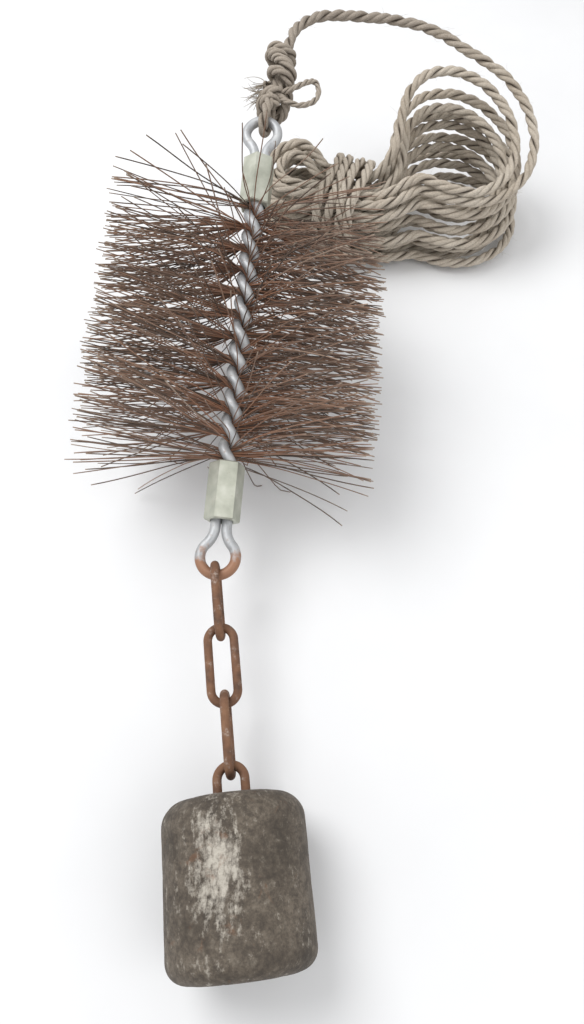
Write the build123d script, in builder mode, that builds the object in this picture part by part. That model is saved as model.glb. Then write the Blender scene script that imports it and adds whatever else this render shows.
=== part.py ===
from build123d import *
import os
from itertools import pairwise
from math import asin, atan2, ceil, cos, degrees, pi, radians, sin, sqrt, tan

# A chimney sweep's brush on a rope, lying on a table, in millimetres.
# +Y runs from the weight to the rope and +Z is up. The origin is on the table, under the middle.

# Stem: two wires twisted together, with the bristles gripped between them.
wire_diameter = 6.4
bristle_layer = 0.9
twist_lead = 32.5
twist_phase = 134.0
stem_slope = 13.4
stem_heading = 8.8
stem_end_in_sleeve = 15.0
stem_start_gap = 0.6

# Bristles: steel strands in rows, one row to each half twist.
brush_radius = 98.0
row_count = 11
strands_per_row = 40
strand_thickness = 0.6
bristle_core_diameter = 0.7
tip_wander = 3.0
tip_wave_turns = 2.0
tip_shares = (1.0, 0.955, 0.985, 0.93, 0.975, 0.945, 0.99)

# Hexagonal sleeves at both ends of the stem.
sleeve_across_flats = 19.0
sleeve_length = 36.0
sleeve_bore = 14.2
sleeve_chamfer = 0.7
lower_sleeve_roll = 14.0
upper_sleeve_roll = 27.0

# Eyes: bent wire rings whose legs enter the sleeves.
eye_ring_radius = 10.75
eye_neck_radius = 16.0
eye_leg_spacing = 6.9
eye_leg_in_sleeve = 15.0
eye_leg_straight = 3.5
lower_eye_place = (-23.5, -49.7, 48.3)

# Chain: welded links of round wire, and the staple that is cast into the weight.
link_wire = 5.0
link_inner_length = 38.0
link_inner_width = 10.0
link_count = 3
link_clearance = 0.3
chain_heading = -2.4
staple_reach = 18.5
staple_depth = 24.0
staple_clearance = 0.15

# Weight: a cast iron cylinder with rounded ends.
weight_diameter = 75.0
weight_length = 82.0
weight_chain_end_radius = 13.0
weight_free_end_radius = 10.5

# Rope, its knot, and the run from the knot to the coil.
rope_diameter = 7.5
rope_clearance = 0.6
knot_heading = 17.0
knot_slope = 9.0
knot_length = 58.0
knot_body_radius = 10.5
knot_waist_radius = 8.5
knot_lumps = 3
knot_tail_length = 4.0
run_start_length = 10.0
run_route = [
    (59.0, 346.0, 135.0),
    (75.0, 355.5, 133.0),
    (97.0, 360.0, 128.0),
    (122.0, 364.0, 122.5),
    (146.0, 365.0, 116.0),
    (163.0, 353.0, 115.0),
]
run_end_length = 14.0

# Coil: a hank of loops with a large and a small lobe, bound round its waist.
coil_waist_place = (82.0, 263.0)
coil_heading = -24.0
coil_layers = 6
turns_per_layer = 2
coil_step = 9.0
coil_layer_step = 9.6
large_lobe_radius = 37.0
small_lobe_radius = 13.0
waist_curve_radius = 27.0
waist_half_length = 16.0
large_bend = 49.0
large_bend_length = 32.0
small_bend = 10.0
small_bend_length = 30.0
large_lobe_ramp = 70.0
small_lobe_ramp = 36.0
large_lobe_rise = 54.0
small_lobe_rise = 14.0
coil_end_share = 0.41
coil_station_share = 0.1
binding_turns = 4
binding_step = 8.3
binding_corner_radius = 11.0

# Curves: the step that gives a direction, the bend below which an arc is straight, and points measured.
turn_nudge = 0.001
straight_angle = 0.02
points_per_arc = 6

os.makedirs("parts", exist_ok=True)


def heading_vector(heading, slope):
    """Unit vector at a compass heading from +Y and a slope above the table, in degrees."""
    level = cos(radians(slope))
    return Vector(sin(radians(heading)) * level, cos(radians(heading)) * level, sin(radians(slope)))


def side_vector(heading):
    """Level unit vector to the right of a heading."""
    return Vector(cos(radians(heading)), -sin(radians(heading)), 0)


def finish(part, label):
    """Name a finished piece and write it."""
    part.label = label
    export_step(part, f"parts/{label}.step")


def follow(point_at, stations):
    """Draw tangent arcs through the points at the stations, two arcs to each span, and list them."""
    arcs = []

    def tangent_at(station):
        return (point_at(station + turn_nudge) - point_at(station - turn_nudge)).normalized()

    for first, last in pairwise(stations):
        start, end = point_at(first), point_at(last)
        leave, arrive = tangent_at(first), tangent_at(last)
        chord, both = end - start, leave + arrive
        spread = 2 * (1 - leave.dot(arrive))
        along = chord.dot(both)
        if spread > turn_nudge**2:
            reach = (sqrt(along**2 + spread * chord.dot(chord)) - along) / spread
        else:
            reach = chord.dot(chord) / (2 * along)
        near, far = start + leave * reach, end - arrive * reach
        middle = (near + far) * 0.5
        for begin, stop, heading in ((start, middle, leave), (middle, end, far - near)):
            if heading.get_angle(stop - begin) < straight_angle:
                arcs.append(Line(begin, stop))
            else:
                arcs.append(TangentArc(begin, stop, tangent=heading))
    return arcs


def tube(point_at, stations, diameter, tail=0):
    """Round tube through a curve's stations, then straight for its tail, with the arcs of its middle."""
    with BuildPart() as bent:
        with BuildLine() as path:
            arcs = follow(point_at, stations)
            if tail:
                Line(path.wire() @ 1, path.wire() @ 1 + path.wire() % 1 * tail)
        with BuildSketch(Plane(path.wire() @ 0, z_dir=path.wire() % 0)):
            Circle(diameter / 2)
        sweep(path=path.wire())
    return bent.part, arcs


# Places along the stem, measured from the bow of the lower eye
eye_height = (
    eye_leg_straight
    + sqrt((eye_neck_radius + eye_ring_radius) ** 2 - (eye_neck_radius + eye_leg_spacing / 2) ** 2)
    + eye_ring_radius
)
row_length = twist_lead / 2
brush_length = row_length * row_count
lower_sleeve_start = eye_height
brush_start = lower_sleeve_start + sleeve_length + stem_start_gap
upper_sleeve_start = brush_start + brush_length + stem_start_gap
upper_sleeve_end = upper_sleeve_start + sleeve_length
upper_bow = upper_sleeve_end + eye_height
pair_radius = (wire_diameter + bristle_layer) / 2

stem_axis = heading_vector(stem_heading, stem_slope)
stem_side = side_vector(stem_heading)
lower_bow_point = Vector(*lower_eye_place)


def stem_plane(distance, roll=0.0):
    """Plane across the stem, its X axis level to the right and then rolled about the stem."""
    x_dir = stem_side * cos(radians(roll)) + stem_axis.cross(stem_side) * sin(radians(roll))
    return Plane(lower_bow_point + stem_axis * distance, x_dir=x_dir, z_dir=stem_axis)


def twist_at(distance):
    """Angle of the left-hand twist at a distance along the stem."""
    return twist_phase - 360 * (distance - brush_start) / twist_lead


# Stem wires
def twisted_wire(opposite):
    def point_at(distance):
        turn = radians(twist_at(distance) + opposite)
        return stem_plane(distance).from_local_coords((pair_radius * cos(turn), pair_radius * sin(turn), 0))

    first = lower_sleeve_start + sleeve_length - stem_end_in_sleeve
    last = upper_sleeve_start + stem_end_in_sleeve
    quarters = round((last - first) / (twist_lead / 4))
    stations = [first + (last - first) * i / quarters for i in range(quarters + 1)]
    wire, _ = tube(point_at, stations, wire_diameter)
    return wire


finish(twisted_wire(0), "stem_wire_a")
finish(twisted_wire(180), "stem_wire_b")


# Bristle rows: strands stand out on both sides, square to the line through the two wires
def strand(distance, side, length, lean):
    """One four-sided strand from the stem's axis to its tip."""
    root = stem_plane(distance, twist_at(distance) + side)
    tip = root.from_local_coords((0, length, lean))
    outward = (tip - root.origin).normalized()
    with BuildPart() as wire:
        with BuildSketch(Plane(root.origin, x_dir=root.x_dir, z_dir=outward)):
            Rectangle(strand_thickness, strand_thickness)
        extrude(amount=length)
    return wire.part


def bristle_row(row):
    stations = strands_per_row // 2
    start = brush_start + row * row_length
    strands = []
    for station in range(stations):
        distance = start + row_length * (station + 0.5) / stations
        lean = tip_wander * sin(2 * pi * tip_wave_turns * (row * stations + station) / stations)
        for side in (0, 180):
            share = tip_shares[(row + station * 3 + side) % len(tip_shares)]
            strands.append(strand(distance, side, brush_radius * share, lean))
    with BuildPart() as bristles:
        with BuildSketch(stem_plane(start)):
            Circle(bristle_core_diameter / 2)
        extrude(amount=row_length)
        add(strands)
        split(bisect_by=Plane.XY, keep=Keep.TOP)
    return bristles.part


for row in range(row_count):
    finish(bristle_row(row), f"bristle_row_{row + 1:02d}")


# Sleeves
def hex_sleeve(start, roll):
    with BuildPart() as sleeve:
        with BuildSketch(stem_plane(start, roll)):
            RegularPolygon(sleeve_across_flats / 2, side_count=6, major_radius=False)
        extrude(amount=sleeve_length)
        ends = sleeve.faces().filter_by(Axis(lower_bow_point, stem_axis))
        chamfer(ends.edges(), sleeve_chamfer)
        with BuildSketch(stem_plane(start)):
            Circle(sleeve_bore / 2)
        extrude(amount=sleeve_length, mode=Mode.SUBTRACT)
    return sleeve.part


finish(hex_sleeve(lower_sleeve_start, lower_sleeve_roll), "lower_hex_sleeve")
finish(hex_sleeve(upper_sleeve_start, upper_sleeve_roll), "upper_hex_sleeve")


# Eyes: drawn with the sleeve's end face at v = 0 and the ring above it
def wire_eye(face_distance, outward):
    """Pear-shaped ring, its legs side by side in the sleeve; outward is 1 up the stem, -1 down."""
    leg = eye_leg_spacing / 2
    ring_height = eye_height - eye_ring_radius
    neck = Vector(leg + eye_neck_radius, eye_leg_straight)
    ring = Vector(0, ring_height)
    meet = ring + (neck - ring).normalized() * eye_ring_radius
    bend = neck + ((meet - neck).normalized() - Vector(1, 0)).normalized() * eye_neck_radius
    lay = Plane(
        lower_bow_point + stem_axis * face_distance,
        x_dir=stem_side,
        z_dir=stem_side.cross(stem_axis * outward),
    )
    with BuildPart() as eye:
        with BuildLine(lay) as path:
            Line((-leg, -eye_leg_in_sleeve), (-leg, eye_leg_straight))
            ThreePointArc((-leg, eye_leg_straight), (-bend.X, bend.Y), (-meet.X, meet.Y))
            ThreePointArc((-meet.X, meet.Y), (0, eye_height), (meet.X, meet.Y))
            ThreePointArc((meet.X, meet.Y), (bend.X, bend.Y), (leg, eye_leg_straight))
            Line((leg, eye_leg_straight), (leg, -eye_leg_in_sleeve))
        with BuildSketch(Plane(path.wire() @ 0, z_dir=path.wire() % 0)):
            Circle(wire_diameter / 2)
        sweep(path=path.wire())
    return eye.part


finish(wire_eye(lower_sleeve_start, -1), "lower_eye")
finish(wire_eye(upper_sleeve_end, 1), "upper_eye")

# Places along the chain, measured from the bow of the lower eye towards the weight
link_pitch = link_inner_length + link_wire
link_bend_radius = (link_inner_width + link_wire) / 2
link_step = link_pitch - link_wire - link_clearance
first_link_start = -(wire_diameter + link_wire) / 2 - link_clearance
staple_bow = first_link_start + link_step * link_count
weight_face = staple_bow - link_wire / 2 + staple_reach
chain_slope = degrees(asin((lower_bow_point.Z - weight_diameter / 2) / staple_bow))
chain_axis = heading_vector(chain_heading, chain_slope) * -1
chain_side = side_vector(chain_heading)
weight_axis = heading_vector(chain_heading, 0) * -1
staple_point = lower_bow_point + chain_axis * staple_bow


def chain_link(number):
    """Closed oval ring; odd links stand upright and even ones lie flat."""
    start = first_link_start + link_step * number
    upright = number % 2 == 0
    across = chain_side.cross(chain_axis) if upright else chain_side
    lay = Plane(lower_bow_point + chain_axis * start, x_dir=across, z_dir=across.cross(chain_axis))
    bend, low, high = link_bend_radius, link_bend_radius, link_pitch - link_bend_radius
    with BuildPart() as link:
        with BuildLine(lay) as path:
            Line((bend, low), (bend, high))
            ThreePointArc((bend, high), (0, link_pitch), (-bend, high))
            Line((-bend, high), (-bend, low))
            ThreePointArc((-bend, low), (0, 0), (bend, low))
        with BuildSketch(Plane(path.wire() @ 0, z_dir=path.wire() % 0)):
            Circle(link_wire / 2)
        sweep(path=path.wire())
    return link.part


for number in range(link_count):
    finish(chain_link(number), f"chain_link_{number + 1}")


# Staple: a half link whose two legs are cast into the weight
staple_lay = Plane(staple_point, x_dir=chain_side, z_dir=chain_side.cross(weight_axis))
staple_foot = weight_face - staple_bow + staple_depth


def staple_legs(diameter, foot):
    with BuildPart() as legs:
        with BuildLine(staple_lay) as path:
            Line((-link_bend_radius, foot), (-link_bend_radius, link_bend_radius))
            ThreePointArc((-link_bend_radius, link_bend_radius), (0, 0), (link_bend_radius, link_bend_radius))
            Line((link_bend_radius, link_bend_radius), (link_bend_radius, foot))
        with BuildSketch(Plane(path.wire() @ 0, z_dir=path.wire() % 0)):
            Circle(diameter / 2)
        sweep(path=path.wire())
    return legs.part


finish(staple_legs(link_wire, staple_foot), "weight_staple")

# Weight
weight_start = staple_point + weight_axis * (weight_face - staple_bow)
with BuildPart() as weight:
    with BuildSketch(Plane(weight_start, x_dir=chain_side, z_dir=weight_axis)):
        Circle(weight_diameter / 2)
    extrude(amount=weight_length)
    rims = weight.edges().filter_by(GeomType.CIRCLE).sort_by(Axis.Y)
    fillet(rims[-1], weight_chain_end_radius)
    fillet(weight.edges().filter_by(GeomType.CIRCLE).sort_by(Axis.Y)[0], weight_free_end_radius)
    add(staple_legs(link_wire + 2 * staple_clearance, staple_foot + staple_clearance), mode=Mode.SUBTRACT)
finish(weight.part, "weight")


# Flat outlines made of arcs and straights, each piece as (x, y, radius, start angle, turn)
def arc_pieces(x, y, radius, start, turn, count=1):
    return [(x, y, radius, start + turn * i / count, turn / count) for i in range(count)]


def straight_piece(x, y, angle, length, count=1):
    along, share = Vector(1, 0).rotate(Axis.Z, angle) * length, 1 / count
    return [(x + along.X * i * share, y + along.Y * i * share, 0, angle, length * share) for i in range(count)]


def outline_place(pieces, step):
    """Place and outward angle at a step along an outline that is drawn anticlockwise."""
    x, y, radius, start, turn = pieces[int(step) % len(pieces)]
    share = step % 1
    if radius == 0:
        angle = radians(start)
        return x + turn * share * cos(angle), y + turn * share * sin(angle), angle - pi / 2
    angle = radians(start + turn * share)
    outward = angle if turn > 0 else angle + pi
    return x + radius * cos(angle), y + radius * sin(angle), outward


def ease(share):
    """Smooth step from 0 to 1."""
    return 0.5 - 0.5 * cos(pi * min(1, max(0, share)))


def least_gap(arcs, per_turn, diameter):
    """Least gap between passes of a wound tube, measured on points along its middle."""
    points = [arc @ (i / points_per_arc) for arc in arcs for i in range(points_per_arc)]
    apart = per_turn * points_per_arc
    pairs = ((i, j) for i in range(len(points)) for j in range(i + apart, len(points)))
    return min((points[i] - points[j]).length for i, j in pairs) - diameter


# Coil: every loop is an offset of one outline, drawn with x along the hank and y across it
waist_half_width = coil_step / 2
neck_height = waist_curve_radius + waist_half_width
large_neck = sqrt((large_lobe_radius + waist_curve_radius) ** 2 - neck_height**2)
small_neck = sqrt((small_lobe_radius + waist_curve_radius) ** 2 - neck_height**2)
large_turn = degrees(atan2(large_neck, neck_height))
small_turn = degrees(atan2(small_neck, neck_height))
neck_end = waist_half_length + large_bend_length
large_middle = neck_end + large_neck
small_middle = -waist_half_length - small_neck
hank_outline = (
    straight_piece(-waist_half_length, -waist_half_width, 0, 2 * waist_half_length)
    + straight_piece(waist_half_length, -waist_half_width, 0, large_bend_length, 2)
    + arc_pieces(neck_end, -neck_height, waist_curve_radius, 90, -large_turn)
    + arc_pieces(large_middle, 0, large_lobe_radius, -90 - large_turn, 180 + 2 * large_turn, 4)
    + arc_pieces(neck_end, neck_height, waist_curve_radius, large_turn - 90, -large_turn)
    + straight_piece(neck_end, waist_half_width, 180, large_bend_length, 2)
    + straight_piece(waist_half_length, waist_half_width, 180, 2 * waist_half_length)
    + arc_pieces(-waist_half_length, neck_height, waist_curve_radius, -90, -small_turn)
    + arc_pieces(small_middle, 0, small_lobe_radius, 90 - small_turn, 180 + 2 * small_turn, 2)
    + arc_pieces(-waist_half_length, -neck_height, waist_curve_radius, 90 + small_turn, -small_turn)
)
loop_steps = len(hank_outline)
coil_turns = coil_layers * turns_per_layer - 1 + coil_end_share
hank_along = heading_vector(90 - coil_heading, 0)
hank_across = heading_vector(-coil_heading, 0)
hank_waist = Vector(*coil_waist_place)
coil_bottom = rope_diameter / 2 + rope_diameter + rope_clearance


def lane_at(turns):
    """Lanes outside the innermost loop: in and out again, turning back a quarter turn before a layer ends."""
    phase = (turns + 0.25) % (2 * turns_per_layer)
    return abs(turns_per_layer - phase)


def layer_at(turns):
    """Layer of the pile, which the last half turn of each layer climbs."""
    whole = int(turns // turns_per_layer)
    climb = ease(2 * (turns - turns_per_layer * (whole + 1)) + 1)
    return min(whole + climb, coil_layers - 1)


def bent(x, y):
    """Bend the hank back beyond both ends of its waist."""
    beyond = max(0, abs(x) - waist_half_length)
    bend, length = (large_bend, large_bend_length) if x > 0 else (small_bend, small_bend_length)
    bend_radius = length / radians(bend)
    turn = radians(bend) * min(1, beyond / length)
    straight = max(0, beyond - length)
    ahead = min(abs(x), waist_half_length) + (bend_radius - y) * sin(turn) + straight * cos(turn)
    back = y + (bend_radius - y) * (1 - cos(turn)) + straight * sin(turn)
    return (ahead if x > 0 else -ahead), back


def coil_point(step):
    turns = step / loop_steps
    x, y, outward = outline_place(hank_outline, step)
    x += lane_at(turns) * coil_step * cos(outward)
    y += lane_at(turns) * coil_step * sin(outward)
    if x > 0:
        rise, ramp, radius = large_lobe_rise, large_lobe_ramp, large_lobe_radius
    else:
        rise, ramp, radius = small_lobe_rise, small_lobe_ramp, small_lobe_radius
    reach = radius + turns_per_layer * coil_step
    lean = layer_at(turns) / (coil_layers - 1) * (y + reach) / (2 * reach)
    height = coil_bottom + layer_at(turns) * coil_layer_step
    height += rise * lean * ease((abs(x) - waist_half_length) / ramp)
    along, across = bent(x, y)
    return hank_waist + hank_along * along + hank_across * across + Vector(0, 0, height)


def wound_tube(name, point_at, stations, per_turn, tail=0):
    """Wound tube, whose least gap to itself is printed."""
    wound, arcs = tube(point_at, stations, rope_diameter, tail)
    print(f"{name}: least gap to itself {least_gap(arcs, per_turn, rope_diameter):.2f}")
    return wound


coil_steps = coil_turns * loop_steps
inner_stations = [step + coil_station_share for step in range(1, ceil(coil_steps))]
coil_stations = [0, *inner_stations, coil_steps]
finish(wound_tube("rope_coil", coil_point, coil_stations, loop_steps, rope_diameter), "rope_coil")

# Binding: the rope wound round the waist, over and under the loops
binding_half_width = waist_half_width + turns_per_layer * coil_step + rope_diameter + rope_clearance
binding_top = coil_bottom + (coil_layers - 1) * coil_layer_step + rope_diameter + rope_clearance
binding_bottom = rope_diameter / 2
binding_run = binding_half_width - binding_corner_radius
binding_low = binding_bottom + binding_corner_radius
binding_high = binding_top - binding_corner_radius
binding_outline = (
    straight_piece(0, binding_bottom, 0, binding_run)
    + arc_pieces(binding_run, binding_low, binding_corner_radius, -90, 90)
    + straight_piece(binding_half_width, binding_low, 90, binding_high - binding_low)
    + arc_pieces(binding_run, binding_high, binding_corner_radius, 0, 90)
    + straight_piece(binding_run, binding_top, 180, 2 * binding_run)
    + arc_pieces(-binding_run, binding_high, binding_corner_radius, 90, 90)
    + straight_piece(-binding_half_width, binding_high, -90, binding_high - binding_low)
    + arc_pieces(-binding_run, binding_low, binding_corner_radius, 180, 90)
    + straight_piece(-binding_run, binding_bottom, 0, binding_run)
)
wrap_steps = len(binding_outline)


def binding_point(step):
    across, height, _ = outline_place(binding_outline, step)
    along = binding_step * (step / wrap_steps - binding_turns / 2)
    return hank_waist + hank_along * along + hank_across * across + Vector(0, 0, height)


binding_stations = range(binding_turns * wrap_steps + 1)
finish(wound_tube("coil_binding", binding_point, binding_stations, wrap_steps), "coil_binding")

# Knot: a bight round the upper eye, where the ring faces the pull, and a lumpy body of hitches
knot_axis = heading_vector(knot_heading, knot_slope)
knot_side = side_vector(knot_heading)
ring_middle = lower_bow_point + stem_axis * (upper_bow - eye_ring_radius)
ring_normal = stem_side.cross(stem_axis)
pull = (knot_axis - ring_normal * knot_axis.dot(ring_normal)).normalized()
hitch_point = ring_middle + pull * eye_ring_radius
bight_radius = (wire_diameter + rope_diameter) / 2 + rope_clearance / 2
knot_start = hitch_point + knot_axis * (wire_diameter / 2 + rope_diameter)
knot_end = knot_start + knot_axis * (knot_length + knot_tail_length)
knot_lay = Plane(hitch_point, x_dir=knot_axis.cross(knot_side), z_dir=knot_side)
knot_half = Plane(knot_start, x_dir=knot_axis.cross(knot_side), z_dir=knot_side)
lump_length = knot_length / knot_lumps
with BuildPart() as knot:
    with BuildLine(knot_lay) as bight:
        bight_leg = wire_diameter / 2 + rope_diameter + lump_length / 2
        Line((-bight_radius, bight_leg), (-bight_radius, 0))
        ThreePointArc((-bight_radius, 0), (0, -bight_radius), (bight_radius, 0))
        Line((bight_radius, 0), (bight_radius, bight_leg))
    with BuildSketch(Plane(bight.wire() @ 0, z_dir=bight.wire() % 0)):
        Circle(rope_diameter / 2)
    sweep(path=bight.wire())
    with BuildSketch(knot_half) as body:
        with BuildLine():
            Line((0, 0), (knot_waist_radius, 0))
            for lump in range(knot_lumps):
                foot = lump * lump_length
                ThreePointArc(
                    (knot_waist_radius, foot),
                    (knot_body_radius, foot + lump_length / 2),
                    (knot_waist_radius, foot + lump_length),
                )
            Line((knot_waist_radius, knot_length), (0, knot_length))
            Line((0, knot_length), (0, 0))
        make_face()
    revolve(axis=Axis(knot_start, knot_axis))
    with BuildSketch(Plane(knot_start, z_dir=knot_axis)):
        Circle(rope_diameter / 2)
    extrude(amount=knot_length + knot_tail_length)
finish(knot.part, "rope_knot")

# Run: straight stretches joined by tangent arcs, each arc as large as its two stretches allow
coil_leave = (coil_point(coil_steps) - coil_point(coil_steps - turn_nudge)).normalized()
coil_end = coil_point(coil_steps) + coil_leave * rope_diameter
run_points = [knot_end, knot_end + knot_axis * run_start_length] + [Vector(*place) for place in run_route]
run_points += [coil_end + coil_leave * run_end_length, coil_end]
run_radii = []
for before, corner, after in zip(run_points, run_points[1:], run_points[2:]):
    shorter = min((corner - before).length, (after - corner).length)
    turn = (corner - before).get_angle(after - corner)
    run_radii.append(0.45 * shorter / tan(radians(turn / 2)))
    print(f"rope_run: turn {turn:.0f} degrees, radius {run_radii[-1]:.0f}, stretches {shorter:.0f} or more")
with BuildPart() as run:
    with BuildLine() as run_path:
        FilletPolyline(*run_points, radius=run_radii)
    with BuildSketch(Plane(knot_end, z_dir=run_points[1] - knot_end)):
        Circle(rope_diameter / 2)
    sweep(path=run_path.wire())
run_volume = pi * rope_diameter**2 / 4 * run_path.wire().length
print(f"rope_run: volume {run.part.volume:.0f}, section times length {run_volume:.0f}")
finish(run.part, "rope_run")
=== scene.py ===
import math

import bpy
import numpy as np
from mathutils import Matrix, Vector


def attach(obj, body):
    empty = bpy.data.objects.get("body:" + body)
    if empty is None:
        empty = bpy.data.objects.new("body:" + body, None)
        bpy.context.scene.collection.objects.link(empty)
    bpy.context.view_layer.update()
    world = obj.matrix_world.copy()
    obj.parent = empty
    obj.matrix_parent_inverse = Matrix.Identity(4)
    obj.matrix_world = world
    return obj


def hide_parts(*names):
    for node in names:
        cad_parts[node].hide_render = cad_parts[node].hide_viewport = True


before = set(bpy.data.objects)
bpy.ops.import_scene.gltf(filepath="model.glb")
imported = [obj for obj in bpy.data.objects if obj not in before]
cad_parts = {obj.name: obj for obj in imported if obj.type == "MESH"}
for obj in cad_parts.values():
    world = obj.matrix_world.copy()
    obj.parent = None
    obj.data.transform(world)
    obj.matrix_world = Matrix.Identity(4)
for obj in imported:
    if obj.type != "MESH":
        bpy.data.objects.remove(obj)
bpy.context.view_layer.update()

# A chimney sweep's brush on a rope, lying on a table.
# Everything is in metres, in the frame of the solids.
rng = np.random.default_rng(71)


# ---- Vectors ----
def unit(v):
    v = np.asarray(v, float)
    return v / np.maximum(np.linalg.norm(v, axis=-1, keepdims=True), 1e-12)


def heading_vector(heading, slope):
    """Unit vector at a compass heading from +Y and a slope above the table, in degrees."""
    h, s = math.radians(heading), math.radians(slope)
    return np.array([math.sin(h) * math.cos(s), math.cos(h) * math.cos(s), math.sin(s)])


def side_vector(heading):
    h = math.radians(heading)
    return np.array([math.cos(h), -math.sin(h), 0.0])


def ease(x):
    return 0.5 - 0.5 * np.cos(np.pi * np.clip(x, 0, 1))


# ---- Places shared with the solids ----
stem_heading, stem_slope = 8.8, 13.4
stem_axis = heading_vector(stem_heading, stem_slope)
stem_side = side_vector(stem_heading)
stem_up = np.cross(stem_side, stem_axis)
lower_bow = np.array([-0.0235, -0.0497, 0.0483])
wire_diameter = 0.0064
twist_lead = 0.0325
row_count = 11
row_length = twist_lead / 2
eye_ring_radius = 0.01075
eye_height = 0.032615
sleeve_length, sleeve_gap = 0.036, 0.0006
brush_start = eye_height + sleeve_length + sleeve_gap
upper_bow = brush_start + row_length * row_count + sleeve_gap + sleeve_length + eye_height

rope_diameter = 0.0075
rope_clearance = 0.0006
knot_heading, knot_slope, knot_length = 17, 9, 0.062
knot_axis = heading_vector(knot_heading, knot_slope)
knot_side = side_vector(knot_heading)
pull = unit(knot_axis - stem_up * knot_axis.dot(stem_up))
hitch_point = lower_bow + stem_axis * (upper_bow - eye_ring_radius) + pull * eye_ring_radius
knot_start = hitch_point + knot_axis * (wire_diameter / 2 + rope_diameter)
knot_end = knot_start + knot_axis * knot_length
knot_up = np.cross(knot_side, knot_axis)


# ---- Meshes ----
def new_piece(name, verts, quads, body, material):
    """A smooth mesh object from arrays of points and quads."""
    mesh = bpy.data.meshes.new(name)
    mesh.vertices.add(len(verts))
    mesh.vertices.foreach_set("co", np.asarray(verts, np.float32).ravel())
    mesh.loops.add(quads.size)
    mesh.loops.foreach_set("vertex_index", quads.astype(np.int32).ravel())
    mesh.polygons.add(len(quads))
    mesh.polygons.foreach_set("loop_start", np.arange(0, quads.size, 4, dtype=np.int32))
    mesh.update(calc_edges=True)
    mesh.polygons.foreach_set("use_smooth", [True] * len(mesh.polygons))
    mesh.validate()
    obj = bpy.data.objects.new(name, mesh)
    bpy.context.scene.collection.objects.link(obj)
    mesh.materials.append(material)
    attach(obj, body)
    return obj


def point_value(obj, name, values):
    layer = obj.data.attributes.new(name, "FLOAT", "POINT")
    layer.data.foreach_set("value", np.asarray(values, np.float32).ravel())


def tube_faces(count, rings, sides, start=0):
    """Quads of tubes whose points run tube by tube, ring by ring."""
    tube, ring, side = np.meshgrid(
        np.arange(count), np.arange(rings - 1), np.arange(sides), indexing="ij"
    )
    base = start + (tube * rings + ring) * sides
    turn = (side + 1) % sides
    corners = [base + side, base + turn, base + sides + turn, base + sides + side]
    return np.stack(corners, -1).reshape(-1, 4)


def swept(centres, first, second, radii, sides):
    """Points of tubes round centre lines (tubes, rings, 3) with two axes across each ring."""
    angle = 2 * np.pi * np.arange(sides) / sides
    across = first[..., None, :] * np.cos(angle)[:, None]
    across = across + second[..., None, :] * np.sin(angle)[:, None]
    return (centres[..., None, :] + across * radii[..., None, None]).reshape(-1, 3)


def spline_points(points, resolution=6):
    """Points along a smooth NURBS line through a route's control points."""
    curve = bpy.data.curves.new("route", "CURVE")
    curve.dimensions = "3D"
    spline = curve.splines.new("NURBS")
    spline.points.add(len(points) - 1)
    spline.points.foreach_set("co", np.c_[np.asarray(points, float), np.ones(len(points))].ravel())
    spline.order_u = 3
    spline.use_endpoint_u = True
    spline.resolution_u = resolution
    holder = bpy.data.objects.new("route", curve)
    bpy.context.scene.collection.objects.link(holder)
    bpy.context.view_layer.update()
    mesh = bpy.data.meshes.new_from_object(holder)
    line = np.array([v.co for v in mesh.vertices])
    bpy.data.objects.remove(holder)
    bpy.data.curves.remove(curve)
    bpy.data.meshes.remove(mesh)
    return line


def spaced(line, step):
    """The same line with its points a step apart, and how far along each of them lies."""
    apart = np.linalg.norm(np.diff(line, axis=0), axis=1)
    line = line[np.r_[True, apart > 1e-7]]
    along = np.r_[0, np.cumsum(np.linalg.norm(np.diff(line, axis=0), axis=1))]
    wanted = np.linspace(0, along[-1], max(3, int(round(along[-1] / step)) + 1))
    return np.stack([np.interp(wanted, along, line[:, i]) for i in range(3)], 1), wanted


def axes_across(line):
    """Two axes across a line at each of its points, which don't spin about it."""
    tangent = unit(np.gradient(line, axis=0))
    first = np.zeros_like(line)
    first[0] = unit(np.cross(tangent[0], [0.3, 0.1, 1.0]))
    for i in range(1, len(line)):
        kept = first[i - 1] - tangent[i] * first[i - 1].dot(tangent[i])
        first[i] = kept / math.sqrt(kept.dot(kept))
    return first, np.cross(tangent, first)


# Laid rope: a strand's offset and radius are shares of the rope's diameter
lay_pitch = 0.029
strand_sides = 9
strand_offset, strand_radius = 0.262, 0.248
lay_wander, lay_wander_length = 0.35, 0.047
strand_swell, short_swell_length, long_swell_length = 0.06, 0.0061, 0.0137
strand_end_share = 0.35
rope_step, knot_step = 0.0015, 0.0012


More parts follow.
